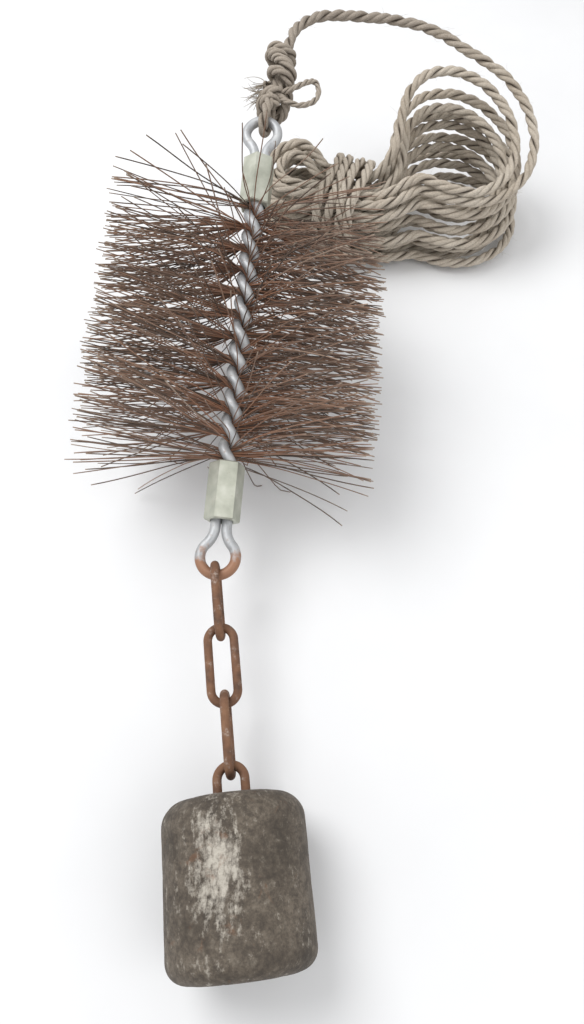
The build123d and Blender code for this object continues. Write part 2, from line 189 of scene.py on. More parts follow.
def laid_rope(lines, diameters, step=rope_step):
    """Three strands laid left-handed round each line: points, quads, places along, outwardness."""
    verts, faces, along_all, outward_all, start = [], [], [], [], 0
    for line, diameter in zip(lines, diameters):
        line, along = spaced(line, step)
        first, second = axes_across(line)
        helix, strand = diameter * strand_offset, diameter * strand_radius
        for k in range(3):
            turn = 2 * np.pi * (k / 3 - along / (lay_pitch * diameter / rope_diameter))
            turn += lay_wander * np.sin(along / lay_wander_length + k * 2.1)
            short_wave = np.sin(along / short_swell_length + 1.7 * k)
            long_wave = np.sin(along / long_swell_length + k)
            swell = 1 + strand_swell * short_wave * long_wave
            out = first * np.cos(turn)[:, None] + second * np.sin(turn)[:, None]
            centre = line + out * helix
            way = unit(np.gradient(centre, axis=0))
            across = unit(out - way * (out * way).sum(1)[:, None])
            radii = np.full(len(line), strand) * swell
            radii[[0, -1]] *= strand_end_share
            second_across = np.cross(way, across)
            verts.append(
                swept(centre[None], across[None], second_across[None], radii[None], strand_sides)
            )
            faces.append(tube_faces(1, len(line), strand_sides, start))
            ring = np.arange(strand_sides) / strand_sides
            along_all.append(np.repeat(along, strand_sides))
            outward_all.append(np.tile(np.cos(2 * np.pi * ring), len(line)))
            start += len(line) * strand_sides
    return tuple(np.concatenate(part) for part in (verts, faces, along_all, outward_all))


# ---- Coil: the same loops as the solid, drawn with x along the hank and y across it ----
coil_waist_place = np.array([0.082, 0.263, 0.0])
hank_along, hank_across = heading_vector(114, 0), heading_vector(24, 0)
coil_layers, turns_per_layer = 6, 2
coil_step, coil_layer_step = 0.009, 0.0096
large_lobe_radius, small_lobe_radius = 0.037, 0.013
waist_curve_radius, waist_half_length = 0.027, 0.016
large_bend, large_bend_length = 49.0, 0.032
small_bend, small_bend_length = 10.0, 0.030
large_lobe_ramp, small_lobe_ramp = 0.070, 0.036
large_lobe_rise, small_lobe_rise = 0.054, 0.014
coil_end_share = 0.41
coil_bottom = rope_diameter / 2 + rope_diameter + rope_clearance
lane_change_share = 0.25

waist_half_width = coil_step / 2
neck_height = waist_curve_radius + waist_half_width
large_neck = math.sqrt((large_lobe_radius + waist_curve_radius) ** 2 - neck_height**2)
small_neck = math.sqrt((small_lobe_radius + waist_curve_radius) ** 2 - neck_height**2)
large_turn = math.degrees(math.atan2(large_neck, neck_height))
small_turn = math.degrees(math.atan2(small_neck, neck_height))
neck_end = waist_half_length + large_bend_length
large_middle = neck_end + large_neck
small_middle = -waist_half_length - small_neck


def arc_pieces(x, y, radius, start, turn, count=1):
    return [(x, y, radius, start + turn * i / count, turn / count) for i in range(count)]


def straight_piece(x, y, way, length, count=1):
    """Pieces of a straight that runs along x, forwards or back."""
    heading, part = 90 - 90 * way, length / count
    return [(x + way * length * i / count, y, 0, heading, part) for i in range(count)]


hank_outline = (
    straight_piece(-waist_half_length, -waist_half_width, 1, 2 * waist_half_length)
    + straight_piece(waist_half_length, -waist_half_width, 1, large_bend_length, 2)
    + arc_pieces(neck_end, -neck_height, waist_curve_radius, 90, -large_turn)
    + arc_pieces(large_middle, 0, large_lobe_radius, -90 - large_turn, 180 + 2 * large_turn, 4)
    + arc_pieces(neck_end, neck_height, waist_curve_radius, large_turn - 90, -large_turn)
    + straight_piece(neck_end, waist_half_width, -1, large_bend_length, 2)
    + straight_piece(waist_half_length, waist_half_width, -1, 2 * waist_half_length)
    + arc_pieces(-waist_half_length, neck_height, waist_curve_radius, -90, -small_turn)
    + arc_pieces(small_middle, 0, small_lobe_radius, 90 - small_turn, 180 + 2 * small_turn, 2)
    + arc_pieces(-waist_half_length, -neck_height, waist_curve_radius, 90 + small_turn, -small_turn)
)
loop_steps = len(hank_outline)
coil_turns = coil_layers * turns_per_layer - 1 + coil_end_share


def outline_place(step):
    """A point of the outline, and the heading that points out of the hank there."""
    x, y, radius, start, turn = hank_outline[int(step) % loop_steps]
    share = step % 1
    angle = math.radians(start)
    if radius == 0:
        length = turn * share
        return x + length * math.cos(angle), y + length * math.sin(angle), angle - math.pi / 2
    angle = math.radians(start + turn * share)
    outward = angle if turn > 0 else angle + math.pi
    return x + radius * math.cos(angle), y + radius * math.sin(angle), outward


def bent(x, y):
    """Bend the hank back beyond both ends of its waist."""
    beyond = max(0, abs(x) - waist_half_length)
    bend, length = (large_bend, large_bend_length) if x > 0 else (small_bend, small_bend_length)
    bend_radius = length / math.radians(bend)
    turn = math.radians(bend) * min(1, beyond / length)
    straight = max(0, beyond - length)
    ahead = min(abs(x), waist_half_length) + (bend_radius - y) * math.sin(turn)
    ahead += straight * math.cos(turn)
    back = y + (bend_radius - y) * (1 - math.cos(turn)) + straight * math.sin(turn)
    return (ahead if x > 0 else -ahead), back


def in_hank(along, across, height):
    place = coil_waist_place + hank_along * along + hank_across * across
    return place + np.array([0, 0, height])


def coil_point(step):
    """A point of the coil, with how far out in a lobe it lies, from 0 at the waist to 1."""
    turns = step / loop_steps
    x, y, outward = outline_place(step)
    lane = abs(turns_per_layer - (turns + lane_change_share) % (2 * turns_per_layer))
    whole = int(turns // turns_per_layer)
    climb = ease(2 * (turns - turns_per_layer * (whole + 1)) + 1)
    layer = min(whole + climb, coil_layers - 1)
    x += lane * coil_step * math.cos(outward)
    y += lane * coil_step * math.sin(outward)
    large = (large_lobe_rise, large_lobe_ramp, large_lobe_radius)
    small = (small_lobe_rise, small_lobe_ramp, small_lobe_radius)
    rise, ramp, radius = large if x > 0 else small
    reach = radius + turns_per_layer * coil_step
    out = ease((abs(x) - waist_half_length) / ramp)
    lean = layer / (coil_layers - 1) * (y + reach) / (2 * reach)
    height = coil_bottom + layer * coil_layer_step + rise * lean * out
    along, across = bent(x, y)
    return in_hank(along, across, height), out if x > 0 else -out


points_per_step = 3
least_last_step = 0.1
end_probe = 0.001
coil_steps = coil_turns * loop_steps
stations = np.append(np.arange(0, coil_steps - least_last_step, 1 / points_per_step), coil_steps)
placed = [coil_point(s) for s in stations]
coil = np.array([p for p, _ in placed])
lobe = np.array([o for _, o in placed])
coil_leave = unit(coil[-1] - coil_point(stations[-1] - end_probe)[0])

# Binding: the rope's other end, wound round the waist
binding_turns, binding_step = 4, 0.0083
wrap_steps = 24
wrap_side_power, wrap_top_power = 0.55, 0.62
wrap_skew, wrap_jitter = 0.0022, 0.0012
wrap_spacing = 0.0035
binding_half_width = (
    waist_half_width + turns_per_layer * coil_step + rope_diameter + rope_clearance
)
binding_top = coil_bottom + (coil_layers - 1) * coil_layer_step + rope_diameter + rope_clearance
binding_middle = (binding_top + rope_diameter / 2) / 2
binding_half_height = (binding_top - rope_diameter / 2) / 2
wraps = []
for i in range(binding_turns * wrap_steps + 1):
    a = 2 * math.pi * i / wrap_steps - math.pi / 2
    c, s = math.cos(a), math.sin(a)
    across = binding_half_width * math.copysign(abs(c) ** wrap_side_power, c)
    up = binding_half_height * math.copysign(abs(s) ** wrap_top_power, s)
    skew = wrap_skew * math.sin(a + 0.6) + wrap_jitter * math.sin(i * 0.7)
    along = binding_step * (i / wrap_steps - binding_turns / 2) + skew
    wraps.append(in_hank(along, across, binding_middle + up))
wraps = np.array(wraps)
wraps[:, 2] = np.maximum(wraps[:, 2], rope_diameter / 2)

# Settling: loops touch at a little less than the rope's diameter and keep near the solid's
touching = rope_diameter * 0.97
most_shift = 0.0135
settle_rounds = 90
pulled_rounds = 0.7
pull_back = 0.10
push_gain = 1.2
nearest_along = 3
table_gap = 0.0001
sample_shares = np.array([0, 0.25, 0.5, 0.75])


def settle(points, wish, hold, obstacle):
    """Push a wound line's points apart, near the wished shifts and above the table."""
    n = len(points)
    per_point = len(sample_shares)
    first = np.repeat(np.arange(n - 1), per_point)
    share = np.tile(sample_shares, n - 1)
    shift = wish.copy()
    order = np.r_[first * per_point + share * per_point, np.full(len(obstacle), -1e6)]
    usual_step = np.median(np.linalg.norm(np.diff(points, axis=0), axis=1))
    near_along = nearest_along * touching / usual_step * per_point
    for turn in range(settle_rounds):
        now = points + shift
        mid = now[first] * (1 - share)[:, None] + now[first + 1] * share[:, None]
        every = np.r_[mid, obstacle]
        square = (every**2).sum(1)
        apart = square[:, None] + square[None] - 2 * every @ every.T
        i, j = np.nonzero(apart < touching**2)
        keep = (i < j) & (np.abs(order[i] - order[j]) > near_along) & (i < len(mid))
        i, j = i[keep], j[keep]
        gap = every[i] - every[j]
        far = np.maximum(np.linalg.norm(gap, axis=1), 1e-5)
        push = gap / far[:, None] * ((touching - far) * 0.5)[:, None]
        push[j >= len(mid)] *= 2
        moved = np.zeros((n, 3))
        weight = np.full(n, 1e-6)
        for index, sign in ((i, 1.0), (j, -1.0)):
            real = index < len(mid)
            k = index[real]
            np.add.at(moved, first[k], sign * push[real] * (1 - share[k])[:, None])
            np.add.at(moved, first[k] + 1, sign * push[real] * share[k][:, None])
            np.add.at(weight, first[k], 1 - share[k])
            np.add.at(weight, first[k] + 1, share[k])
        shift += push_gain * moved / np.maximum(weight, 1)[:, None]
        smooth = shift.copy()
        smooth[1:-1] = (shift[:-2] + shift[2:] + 2 * shift[1:-1]) / 4
        back = pull_back if turn < settle_rounds * pulled_rounds else 0.0
        shift = smooth + (wish - smooth) * back
        long = np.linalg.norm(shift, axis=1)
        shift *= np.minimum(1, most_shift / np.maximum(long, 1e-9))[:, None]
        shift *= hold[:, None]
        shift[:, 2] = np.maximum(shift[:, 2], rope_diameter / 2 + table_gap - points[:, 2])
    return points + shift


# Loose turns differ in size and lean, where nothing ties them
loops = int(math.ceil(coil_turns)) + 1
size_shift, lean_shift, swing_shift = (rng.normal(0, 1, loops) for _ in range(3))
slide_limit = 1.6
slide_shift = np.clip(rng.normal(0, 1, (loops, 3)), -slide_limit, slide_limit)
large_spread, large_size_spread, large_swing_spread = 0.0055, 0.0085, 0.006
large_slide_spread = (0.0075, 0.0075, 0.004)
large_pull, large_lean_spread = np.array([-0.0085, -0.002, -0.0065]), 0.006
low_loop_share, height_gain = 0.85, 0.15
small_size_spread, small_pull, small_lean_spread = 0.0035, np.array([0.003, 0, -0.0065]), 0.003


def at_turn(values, turns):
    """A value that goes over from one loop's to the next one's."""
    whole, blend = int(turns), ease(turns % 1)
    return values[whole] * (1 - blend) + values[whole + 1] * blend


large_centre = in_hank(*bent(large_middle, 0), 0)
small_centre = in_hank(*bent(small_middle, 0), 0)
wish = np.zeros_like(coil)
for i, (p, o) in enumerate(zip(coil, lobe)):
    turns = stations[i] / loop_steps
    size, lean = at_turn(size_shift, turns), at_turn(lean_shift, turns)
    out = p - (large_centre if o > 0 else small_centre)
    out[2] = 0
    away = unit(out)
    free = abs(o)
    if o > 0:
        sideways = np.cross(away, [0, 0, 1.0])
        wish[i] = (
            away * (large_spread + large_size_spread * size)
            + sideways * large_swing_spread * at_turn(swing_shift, turns)
            + at_turn(slide_shift, turns) * large_slide_spread
        )
        wish[i] += large_pull + np.array([0, 0, large_lean_spread * lean])
        wish[i] *= free * (low_loop_share + height_gain * (turns / coil_turns))
    else:
        pulled = small_pull + np.array([0, 0, small_lean_spread * lean])
        wish[i] = free * (away * small_size_spread * size + pulled)
tied_start, tied_end = 3, 6
hold = np.ones(len(coil))
hold[-tied_end:] = np.linspace(0.8, 0.2, tied_end)
hold[:tied_start] = 0.3
coil = settle(coil, wish, hold, spaced(wraps, wrap_spacing)[0])

# ---- Cord: from the eye through the knot, along the run and into the coil ----
run_route = [
    (0.059, 0.346, 0.135),
    (0.075, 0.3555, 0.133),
    (0.097, 0.360, 0.128),
    (0.122, 0.364, 0.1225),
    (0.146, 0.365, 0.116),
    (0.163, 0.353, 0.115),
]
run_start_length, run_end_length = 0.010, 0.014
coil_end = coil_point(stations[-1])[0] + coil_leave * rope_diameter
knot_middle = knot_start + (knot_end - knot_start) * 0.5
route = [knot_start, knot_middle, knot_end, knot_end + knot_axis * run_start_length]
route += [np.array(p) for p in run_route]
route += [coil_end + coil_leave * run_end_length, coil_end, *coil[::-1]]
cord_line, cord_along = spaced(spline_points(route), rope_step)
run_end = cord_along[-1] - np.linalg.norm(np.diff(coil, axis=0), axis=1).sum()


# ---- Materials ----
class Shader:
    """A material with a Principled shader, and short ways to add nodes to it."""

    def __init__(self, name, **constants):
        self.material = bpy.data.materials.new(name)
        self.material.use_nodes = True
        self.tree = self.material.node_tree
        self.bsdf = self.tree.nodes["Principled BSDF"]
        for key, value in constants.items():
            self.bsdf.inputs[key.replace("_", " ")].default_value = value
        self.place = self.node("ShaderNodeTexCoord").outputs["Object"]

    def node(self, kind, links=(), **settings):
        made = self.tree.nodes.new(kind)
        for key, value in settings.items():
            setattr(made, key, value)
        for key, value in dict(links).items():
            if isinstance(value, bpy.types.NodeSocket):
                self.tree.links.new(value, made.inputs[key])
            else:
                made.inputs[key].default_value = value
        return made

    def noise(self, scale, detail=4.0, rough=0.55, distortion=0.0, stretch=None):
        place = self.place
        if stretch:
            place = self.node("ShaderNodeMapping", {"Vector": place, "Scale": stretch}).outputs[0]
        links = {
            "Vector": place,
            "Scale": scale,
            "Detail": detail,
            "Roughness": rough,
            "Distortion": distortion,
        }
        return self.node("ShaderNodeTexNoise", links).outputs[0]

    def cells(self, scale):
        links = {"Vector": self.place, "Scale": scale}
        return self.node("ShaderNodeTexVoronoi", links, feature="F1").outputs[0]

    def value_of(self, name):
        return self.node("ShaderNodeAttribute", attribute_name=name).outputs["Fac"]

    def ramp(self, value, *stops):
        made = self.node("ShaderNodeValToRGB", {"Fac": value})
        band = made.color_ramp
        while len(band.elements) < len(stops):
            band.elements.new(1)
        for element, (at, colour) in zip(band.elements, stops):
            element.position = at
            element.color = (*colour, 1)
        return made.outputs[0]

    def mix(self, share, a, b):
        made = self.node("ShaderNodeMix", data_type="RGBA")
        for socket, value in ((made.inputs[0], share), (made.inputs[6], a), (made.inputs[7], b)):
            if isinstance(value, bpy.types.NodeSocket):
                self.tree.links.new(value, socket)
            else:
                socket.default_value = (*value, 1) if isinstance(value, tuple) else value
        return made.outputs[2]

    def sum(self, a, b, operation="ADD"):
        return self.node("ShaderNodeMath", {0: a, 1: b}, operation=operation).outputs[0]

    def range(self, value, low, high, to_low=0.0, to_high=1.0):
        links = {
            "Value": value,
            "From Min": low,
            "From Max": high,
            "To Min": to_low,
            "To Max": to_high,
        }
        return self.node("ShaderNodeMapRange", links).outputs[0]

    def vector(self, operation, *inputs):
        links = dict(enumerate(inputs))
        return self.node("ShaderNodeVectorMath", links, operation=operation)

    def paint(self, colour, rough=None, metal=None, bumps=()):
        for socket, value in (("Base Color", colour), ("Roughness", rough), ("Metallic", metal)):
            if value is not None:
                self.tree.links.new(value, self.bsdf.inputs[socket])
        normal = None
        for height, strength, distance in bumps:
            links = {"Height": height, "Strength": strength, "Distance": distance}
            if normal is not None:
                links["Normal"] = normal
            normal = self.node("ShaderNodeBump", links).outputs[0]
        if normal is not None:
            self.tree.links.new(normal, self.bsdf.inputs["Normal"])
        return self.material


fibre_shadow = (0.22, 0.175, 0.13)
fibre_hair = (0.66, 0.61, 0.53)
hair_shadow = (0.17, 0.135, 0.10)
# painted shade for the grooves between the rope's strands
groove_painted_shade = (0.10, 0.078, 0.058)
bristle_patch = (0.22, 0.145, 0.103)
root_orange = (0.30, 0.125, 0.062)
bare_tip_and_glint = (0.42, 0.34, 0.27)
iron_dark = (0.040, 0.032, 0.025)
iron_pale = (0.235, 0.205, 0.165)
iron_pit = (0.035, 0.028, 0.022)
# painted highlight colour for the weight's upper side
iron_highlight = (0.40, 0.37, 0.32)
iron_rust = (0.15, 0.075, 0.04)
chain_bare_and_highlight = (0.36, 0.30, 0.26)
zinc_stain = (0.30, 0.27, 0.19)
spangle_grey = (0.36, 0.37, 0.38)
wire_grime = (0.20, 0.12, 0.075)
eye_rust = (0.27, 0.115, 0.045)
# Centre and stretch of the painted highlight on the weight
highlight_place, highlight_stretch = (-0.0225, -0.208, 0.075), (75.0, 27.0, 20.0)
rust_above_bow = 0.010


def rope_material():
    s = Shader("rope_fibre", Specular_IOR_Level=0.25)
    tone, fibre, hair = s.noise(26, 3), s.noise(900, 3, 0.6), s.noise(2400, 3, 0.7)
    clean = s.ramp(
        tone, (0.3, (0.37, 0.315, 0.25)), (0.5, (0.50, 0.44, 0.365)), (0.72, (0.60, 0.545, 0.465))
    )
    worn = s.ramp(tone, (0.3, (0.215, 0.18, 0.15)), (0.7, (0.35, 0.305, 0.26)))
    colour = s.mix(s.value_of("weathered"), clean, worn)
    colour = s.mix(s.range(fibre, 0.35, 0.7, 0.0, 0.45), colour, fibre_shadow)
    colour = s.mix(s.range(hair, 0.50, 0.68, 0, 0.5), colour, fibre_hair)
    colour = s.mix(s.range(hair, 0.34, 0.47, 0.55, 0), colour, hair_shadow)
    # Painted shade: the strands' faces turned in towards the rope's axis, in the grooves between
    # them, are darkened
    groove = s.range(s.value_of("outward"), -0.9, 0.3)
    colour = s.mix(groove, groove_painted_shade, colour)
    bumps = [(fibre, 0.7, 0.0007), (hair, 0.5, 0.0003)]
    return s.paint(colour, s.range(fibre, 0, 1, 0.75, 0.95), bumps=bumps)


def bristle_material():
    s = Shader("rusty_bristle", Specular_IOR_Level=0.4)
    strand, along = s.value_of("strand"), s.value_of("along")
    colour = s.ramp(
        strand,
        (0.0, (0.040, 0.029, 0.023)),
        (0.3, (0.110, 0.074, 0.055)),
        (0.55, (0.185, 0.116, 0.083)),
        (0.8, (0.260, 0.150, 0.098)),
        (1.0, (0.290, 0.225, 0.180)),
    )
    patch = s.noise(70, 3)
    colour = s.mix(s.range(patch, 0.45, 0.7, 0, 0.45), colour, bristle_patch)
    near_root = s.range(along, 0.08, 0.55, 0.6, 0.0)
    rooted = s.sum(near_root, s.range(strand, 0.25, 0.6), "MULTIPLY")
    colour = s.mix(rooted, colour, root_orange)
    # The last of each bristle is lightened: partly the cut end's bare metal, partly a painted glint
    colour = s.mix(s.range(along, 0.95, 1.0, 0, 0.7), colour, bare_tip_and_glint)
    bumps = [(s.noise(1500, 2), 0.3, 0.0002)]
    return s.paint(colour, s.range(patch, 0.3, 0.7, 0.5, 0.8), bumps=bumps)


def iron_material():
    s = Shader("cast_iron", Specular_IOR_Level=0.4)
    broad, mottled, fine = s.noise(42, 6, 0.68), s.noise(190, 6, 0.75), s.noise(520, 6, 0.75)
    streak = s.noise(260, 4, 0.7, stretch=(1.0, 0.3, 1.0))
    colour = s.ramp(
        broad,
        (0.3, (0.058, 0.046, 0.034)),
        (0.5, (0.108, 0.087, 0.066)),
        (0.72, (0.170, 0.140, 0.108)),
    )
    colour = s.mix(s.range(mottled, 0.36, 0.50, 0.7, 0), colour, iron_dark)
    colour = s.mix(s.range(mottled, 0.52, 0.68, 0, 0.55), colour, iron_pale)
    colour = s.mix(s.range(fine, 0.38, 0.55, 0.5, 0), colour, iron_pit)
    # Painted highlight: a pale patch speckled by the grain on the weight's upper left side, where
    # the light falls; it is also made more metallic and smoother
    highlight_distance = s.vector("SUBTRACT", s.place, highlight_place).outputs[0]
    highlight_distance = s.vector("MULTIPLY", highlight_distance, highlight_stretch).outputs[0]
    highlight_distance = s.vector("LENGTH", highlight_distance).outputs["Value"]
    near = s.range(s.sum(highlight_distance, s.range(broad, 0.3, 0.7, 0.4, -0.4)), 0.3, 1.3, 0.30, 0.0)
    grain = s.sum(streak, s.sum(fine, mottled), "MULTIPLY")
    speckled_highlight = s.range(s.sum(grain, near), 0.62, 0.88)
    colour = s.mix(speckled_highlight, colour, iron_highlight)
    rust = s.sum(s.range(s.noise(75, 5, 0.7, 0.4), 0.62, 0.72), 0.6, "MULTIPLY")
    colour = s.mix(rust, colour, iron_rust)
    pits = s.range(s.cells(330), 0.0, 0.35)
    metal = s.range(speckled_highlight, 0, 1, 0.1, 0.45)
    bumps = [(pits, 0.3, 0.0005), (fine, 0.6, 0.0006)]
    return s.paint(colour, s.range(speckled_highlight, 0, 1, 0.72, 0.5), metal, bumps)


def chain_material():
    s = Shader("rusty_chain", Specular_IOR_Level=0.45)
    broad, fine = s.noise(110, 4, 0.6), s.noise(900, 4, 0.7)
    colour = s.ramp(
        broad,
        (0.3, (0.085, 0.048, 0.032)),
        (0.5, (0.17, 0.085, 0.048)),
        (0.7, (0.235, 0.125, 0.07)),
    )
    # Rubbed spots: partly real worn bare steel, partly painted highlights
    rubbed_and_highlight = s.range(s.noise(240, 4, 0.6), 0.55, 0.7)
    worn = s.sum(rubbed_and_highlight, s.range(fine, 0.4, 0.6), "MULTIPLY")
    colour = s.mix(worn, colour, chain_bare_and_highlight)
    metal = s.range(worn, 0, 1, 0.2, 0.7)
    return s.paint(colour, s.range(worn, 0, 1, 0.75, 0.42), metal, [(fine, 0.5, 0.0004)])


def zinc_material():
    s = Shader("zinc_plate", Specular_IOR_Level=0.5)
    broad, fine = s.noise(90, 4), s.noise(1100, 3, 0.6)
    colour = s.ramp(
        broad, (0.3, (0.35, 0.36, 0.30)), (0.55, (0.46, 0.47, 0.40)), (0.75, (0.56, 0.565, 0.50))
    )
    stain = s.range(s.noise(210, 5, 0.7), 0.62, 0.75, 0, 0.7)
    colour = s.mix(stain, colour, zinc_stain)
    rough, metal = s.range(broad, 0.3, 0.7, 0.36, 0.5), s.range(stain, 0, 0.7, 0.75, 0.4)
    return s.paint(colour, rough, metal, [(fine, 0.12, 0.0002)])


def galvanised_material(name, rust_low=None):
    s = Shader(name, Specular_IOR_Level=0.5)
    broad, fine = s.noise(120, 4), s.noise(800, 3, 0.6)
    colour = s.ramp(
        broad, (0.3, (0.33, 0.34, 0.35)), (0.55, (0.44, 0.45, 0.46)), (0.75, (0.54, 0.55, 0.55))
    )
    colour = s.mix(s.range(s.cells(420), 0.2, 0.8, 0, 0.25), colour, spangle_grey)
    grime = s.range(s.noise(330, 5, 0.7), 0.58, 0.72, 0, 0.75)
    colour = s.mix(grime, colour, wire_grime)
    rough, metal = s.range(broad, 0.3, 0.7, 0.45, 0.62), s.range(grime, 0, 0.75, 0.55, 0.15)
    if rust_low is not None:
        height = s.node("ShaderNodeSeparateXYZ", {0: s.place}).outputs[1]
        edge = s.sum(height, s.range(s.noise(160, 4), 0.3, 0.7, -0.006, 0.006))
        rust = s.range(edge, rust_low - 0.003, rust_low + 0.004, 0.9, 0.0)
        colour = s.mix(rust, colour, eye_rust)
        metal = s.mix(rust, metal, (0.05, 0.05, 0.05))
    return s.paint(colour, rough, metal, [(fine, 0.2, 0.0002)])


def floor_material():
    s = Shader("pale_floor", Specular_IOR_Level=0.2, Roughness=0.7)
    tone = s.noise(9, 3)
    return s.paint(s.ramp(tone, (0.3, (0.74, 0.745, 0.755)), (0.7, (0.77, 0.775, 0.785))))


rope_look = rope_material()
rusty_from = float(lower_bow[1]) + rust_above_bow
looks = {
    "weight_staple": chain_material(),
    "lower_eye": galvanised_material("galvanised_eye", rust_low=rusty_from),
    "upper_eye": galvanised_material("galvanised_wire"),
    "lower_hex_sleeve": zinc_material(),
}
looks["upper_hex_sleeve"] = looks["lower_hex_sleeve"]
looks["stem_wire_a"] = looks["stem_wire_b"] = looks["upper_eye"]
looks["chain_link_1"] = looks["chain_link_2"] = looks["chain_link_3"] = looks["weight_staple"]
for node, look in looks.items():
    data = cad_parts[node].data
    data.materials.clear()
    data.materials.append(look)

# ---- Rope pieces ----
weathered_fade = 0.12
knot_weathered, frayed_weathered = 0.85, 0.6
rope_verts, rope_quads, rope_place, rope_out = laid_rope([cord_line], [rope_diameter])
rope = new_piece("rope", rope_verts, rope_quads, "brush", rope_look)
point_value(rope, "outward", rope_out)
point_value(rope, "weathered", ease((run_end - rope_place) / weathered_fade + 1))
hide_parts("rope_run", "rope_coil")


def in_knot(along, side, up):
    return knot_start + knot_axis * along + knot_side * side + knot_up * up


hitch_steps, hitch_climb = 16, 0.0055
crossing_start, crossing_length, climb_start = 0.55, 0.45, 0.5


def hitches(count, start, pitch, radius, phase, lean):
    """Turns round the knot's core, each passing over itself on its way to the next."""
    points = []
    for i in range(count * hitch_steps + 1):
        k, u = divmod(i / hitch_steps, 1)
        angle = phase + 2 * math.pi * i / hitch_steps
        over = float(ease((u - crossing_start) / crossing_length))
        rise = min(1, max(0, (u - climb_start) / (1 - climb_start)))
        r = radius + hitch_climb * math.sin(math.pi * rise)
        along = start + pitch * (k + over) + lean * math.sin(angle + k * 1.3)
        points.append(in_knot(along, r * math.cos(angle), r * math.sin(angle)))
    return points


# The bight through the eye
ring_gap = 0.0001
bight_depth, bight_half_height, bight_steps = 0.014, 0.004, 8
ring_radius = (wire_diameter + rope_diameter) / 2 + ring_gap
bight = [in_knot(bight_depth, 0, -bight_half_height)]
for i in range(bight_steps + 1):
    a = math.pi * i / bight_steps
    bight.append(hitch_point + (-knot_axis * math.sin(a) - knot_up * math.cos(a)) * ring_radius)
bight.append(in_knot(bight_depth, 0, bight_half_height))

# The knot's core and its small loose loop: along, to the side and up
core_places = [
    (0.004, 0.003, 0.0),
    (0.02, 0.0035, 0.001),
    (0.04, 0.003, -0.002),
    (0.056, 0.001, -0.003),
]
small_loop_places = [
    (0.012, 0.006, 0.004),
    (0.014, 0.014, 0.006),
    (0.024, 0.021, 0.004),
    (0.030, 0.027, 0.000),
    (0.022, 0.031, -0.002),
    (0.010, 0.029, 0.000),
    (0.004, 0.020, 0.002),
    (0.006, 0.010, 0.003),
    (0.010, 0.003, 0.002),
]
# Hitches: count, start, pitch, radius, phase and lean, then the rope's diameter
hitch_rows = [
    (2, 0.001, 0.0085, 0.0068, 0.4, 0.0022, 0.0066),
    (2, 0.020, 0.0088, 0.0066, 2.4, -0.0026, 0.0064),
    (2, 0.038, 0.0082, 0.0062, 4.1, 0.0020, 0.0062),
]
bight_diameter, core_diameter, small_loop_diameter = 0.0070, 0.0066, 0.0040
knot_resolution = 12
knot_parts = [(bight, bight_diameter), ([in_knot(*p) for p in core_places], core_diameter)]
knot_parts += [(hitches(*row[:-1]), row[-1]) for row in hitch_rows]
knot_parts.append(([in_knot(*p) for p in small_loop_places], small_loop_diameter))
knot_lines = [spline_points(points, knot_resolution) for points, _ in knot_parts]
verts, quads, _, outward = laid_rope(knot_lines, [d for _, d in knot_parts], step=knot_step)
knot = new_piece("rope_hitches", verts, quads, "brush", rope_look)
point_value(knot, "outward", outward)
point_value(knot, "weathered", np.full(len(verts), knot_weathered))
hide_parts("rope_knot")

binding_verts, quads, _, outward = laid_rope([spline_points(wraps)], [rope_diameter])
binding = new_piece("rope_binding", binding_verts, quads, "brush", rope_look)
point_value(binding, "outward", outward)
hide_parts("coil_binding")

# Hairs on the rope
rope_hair_count, binding_hair_count = 1400, 160
hair_lengths, hair_radius, hair_lowest = (0.003, 0.009), 0.00008, 0.0001
hair_outward, hair_scatter = 0.55, 0.3
fibre_tip_share = 0.4


def fibres(roots, ways, lengths, thick, rings=5, sides=3, curl=0.5):
    """Fine curved fibres from their roots, thinner to their tips."""
    n = len(roots)
    step = lengths[:, None] / (rings - 1)
    bend = rng.normal(0, curl, (n, 3))
    share = np.linspace(0, 1, rings - 1)
    heading = unit(ways[:, None, :] + bend[:, None, :] * share[None, :, None])
    grown = roots[:, None] + np.cumsum(heading * step[:, :, None], 1)
    centres = np.concatenate([roots[:, None], grown], 1)
    way = unit(np.gradient(centres, axis=1))
    first = unit(np.cross(way, [0.31, 0.52, 0.8]))
    radii = np.broadcast_to(thick * np.linspace(1, fibre_tip_share, rings), (n, rings))
    return swept(centres, first, np.cross(way, first), radii, sides), tube_faces(n, rings, sides)


def hairs_on(points, count):
    """Roots, headings and lengths of hairs that stand off a rope's surface points."""
    pick = rng.integers(0, len(points) // strand_sides - 1, count) * strand_sides
    pick = pick + rng.integers(0, strand_sides, count)
    along = unit(points[np.minimum(pick + strand_sides, len(points) - 1)] - points[pick])
    opposite = (pick // strand_sides) * strand_sides + (pick + strand_sides // 2) % strand_sides
    outward = unit(points[pick] - points[opposite]) * hair_outward
    ways = outward + along * rng.choice([-1, 1], (count, 1))
    ways = unit(ways + rng.normal(0, hair_scatter, (count, 3)))
    return points[pick], ways, rng.uniform(*hair_lengths, count)


hair_sets = [hairs_on(rope_verts, rope_hair_count), hairs_on(binding_verts, binding_hair_count)]
hairs, hair_quads, start = [], [], 0
for roots, ways, lengths in hair_sets:
    verts, quads = fibres(roots, ways, lengths, hair_radius)
    verts[:, 2] = np.maximum(verts[:, 2], hair_lowest)
    hairs.append(verts)
    hair_quads.append(quads + start)
    start += len(verts)
hairs, hair_quads = np.concatenate(hairs), np.concatenate(hair_quads)
rope_hairs = new_piece("rope_hairs", hairs, hair_quads, "brush", rope_look)
point_value(rope_hairs, "outward", np.ones(start))

